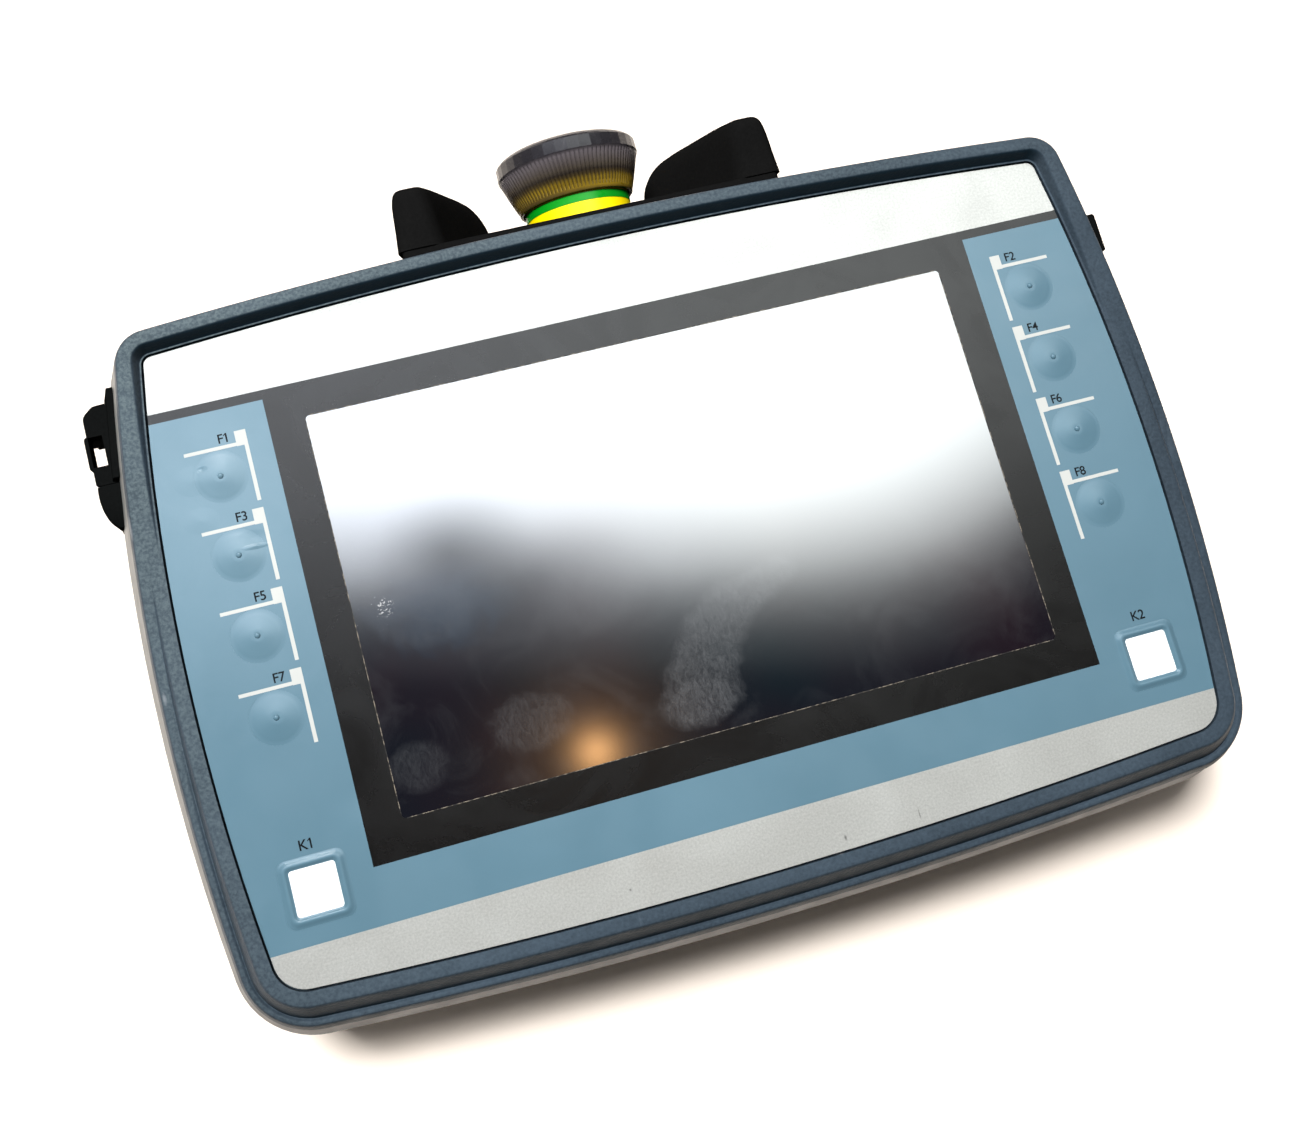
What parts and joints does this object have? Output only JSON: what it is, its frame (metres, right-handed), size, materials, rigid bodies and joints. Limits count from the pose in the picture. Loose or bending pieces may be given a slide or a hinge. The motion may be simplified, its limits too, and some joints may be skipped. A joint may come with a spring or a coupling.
{
  "type": "hand-held hmi touch panel",
  "caption": "Hand-held operator panel: touch screen in a keyed film front, tilted bumper frame, guarded emergency stop on the top edge, grip block with enabling buttons behind.",
  "frame": {"origin": "on the plane of the rubber feet, straight below the middle of the screen", "axes": "+X to the right of the screen, +Y up the screen, +Z out of the screen; the panel lies on its back"},
  "size_m": [0.2509, 0.198, 0.064],
  "materials": {
    "frame_blue": "satin moulded",
    "film": "semi-matt printed film",
    "screen": "gloss",
    "housing_grey": "fine moulded texture",
    "black_plastic": "satin moulded",
    "black_rubber": "matt",
    "stop_yellow": "gloss",
    "stop_green": "gloss",
    "stop_cap": "translucent, satin",
    "steel": "zinc plated",
    "spring_steel": "bright",
    "aluminium": "plain",
    "circuit_board": "solder mask",
    "lcd": "gloss",
    "backlight": "white",
    "chip_black": "moulded",
    "connector": "moulded",
    "terminal_green": "moulded",
    "nickel": "nickel plated",
    "button_yellow": "matt",
    "plate_silver": "matt label",
    "ribbon_white": "flat cable"
  },
  "bodies": {
    "panel": {"backlight_unit": "backlight", "board_connectors": "connector", "board_screws": "steel", "board_standoffs": "steel", "buzzer": "chip_black", "cable_gland": "nickel", "carrier_plate": "aluminium", "carrier_screws": "steel", "coin_cell": "steel", "dome_switches": "spring_steel", "enable_switches": "black_plastic", "estop_base": "stop_yellow", "estop_contact_block": "black_plastic", "estop_nut": "black_plastic", "estop_ring": "stop_green", "estop_spring": "spring_steel", "estop_terminals": "nickel", "front_frame": "frame_blue", "gland_lock_nut": "nickel", "gland_nut": "nickel", "guard_collar": "black_plastic", "guard_screws": "steel", "heat_spreader": "aluminium", "housing_gasket": "black_rubber", "housing_screws": "steel", "key_boards": "circuit_board", "key_ribbons": "ribbon_white", "keypad_overlay": "film", "lcd_bezel": "steel", "lcd_cell": "lcd", "main_board": "circuit_board", "memory_chips": "chip_black", "port_cover_strap": "black_rubber", "processor": "chip_black", "rating_plate": "plate_silver", "rear_housing": "housing_grey", "rubber_feet": "black_rubber", "service_cover": "housing_grey", "service_cover_screws": "steel", "terminal_blocks": "terminal_green", "terminal_board": "circuit_board", "touch_pane": "screen", "usb_socket": "steel"},
    "key_f1": {"key_f1": "film"},
    "key_f2": {"key_f2": "film"},
    "key_f3": {"key_f3": "film"},
    "key_f4": {"key_f4": "film"},
    "key_f5": {"key_f5": "film"},
    "key_f6": {"key_f6": "film"},
    "key_f7": {"key_f7": "film"},
    "key_f8": {"key_f8": "film"},
    "key_k1": {"key_k1": "film"},
    "key_k2": {"key_k2": "film"},
    "stop_push_rod": {"estop_plunger": "black_plastic"},
    "stop_head": {"estop_cap": "stop_cap"},
    "enable_left": {"enable_button_left": "button_yellow"},
    "enable_right": {"enable_button_right": "button_yellow"},
    "port_flap": {"port_cover": "black_rubber"},
    "service_plug": {"service_cap": "black_rubber"}
  },
  "joints": [
    {"name": "key_f1_press", "type": "slide", "parent": "panel", "child": "key_f1", "axis": [0, 0, -1], "range_m": [0, 0.0005], "stiffness_N_per_m": 2500},
    {"name": "key_f2_press", "type": "slide", "parent": "panel", "child": "key_f2", "axis": [0, 0, -1], "range_m": [0, 0.0005], "stiffness_N_per_m": 2500},
    {"name": "key_f3_press", "type": "slide", "parent": "panel", "child": "key_f3", "axis": [0, 0, -1], "range_m": [0, 0.0005], "stiffness_N_per_m": 2500},
    {"name": "key_f4_press", "type": "slide", "parent": "panel", "child": "key_f4", "axis": [0, 0, -1], "range_m": [0, 0.0005], "stiffness_N_per_m": 2500},
    {"name": "key_f5_press", "type": "slide", "parent": "panel", "child": "key_f5", "axis": [0, 0, -1], "range_m": [0, 0.0005], "stiffness_N_per_m": 2500},
    {"name": "key_f6_press", "type": "slide", "parent": "panel", "child": "key_f6", "axis": [0, 0, -1], "range_m": [0, 0.0005], "stiffness_N_per_m": 2500},
    {"name": "key_f7_press", "type": "slide", "parent": "panel", "child": "key_f7", "axis": [0, 0, -1], "range_m": [0, 0.0005], "stiffness_N_per_m": 2500},
    {"name": "key_f8_press", "type": "slide", "parent": "panel", "child": "key_f8", "axis": [0, 0, -1], "range_m": [0, 0.0005], "stiffness_N_per_m": 2500},
    {"name": "key_k1_press", "type": "slide", "parent": "panel", "child": "key_k1", "axis": [0, 0, -1], "range_m": [0, 0.0005], "stiffness_N_per_m": 2500},
    {"name": "key_k2_press", "type": "slide", "parent": "panel", "child": "key_k2", "axis": [0, 0, -1], "range_m": [0, 0.0005], "stiffness_N_per_m": 2500},
    {"name": "stop_press", "type": "slide", "parent": "panel", "child": "stop_push_rod", "axis": [0, -0.9829, -0.184], "range_m": [0, 0.004]},
    {"name": "stop_release_twist", "type": "hinge", "parent": "stop_push_rod", "child": "stop_head", "pos_m": [0, 0.0917, 0.0357], "axis": [0, 0.9829, 0.184], "range_deg": [0, 45], "stiffness_Nm_per_rad": 0.08},
    {"name": "enable_left_press", "type": "slide", "parent": "panel", "child": "enable_left", "axis": [1, 0, 0], "range_m": [0, 0.003], "stiffness_N_per_m": 1500},
    {"name": "enable_right_press", "type": "slide", "parent": "panel", "child": "enable_right", "axis": [-1, 0, 0], "range_m": [0, 0.003], "stiffness_N_per_m": 1500},
    {"name": "port_flap_hinge", "type": "hinge", "parent": "panel", "child": "port_flap", "pos_m": [-0.1254, 0.0438, 0.045], "axis": [0, 0, 1], "range_deg": [0, 100], "stiffness_Nm_per_rad": 0.01},
    {"name": "service_plug_pull", "type": "slide", "parent": "panel", "child": "service_plug", "axis": [1, 0, 0], "range_m": [0, 0.009]}
  ]
}
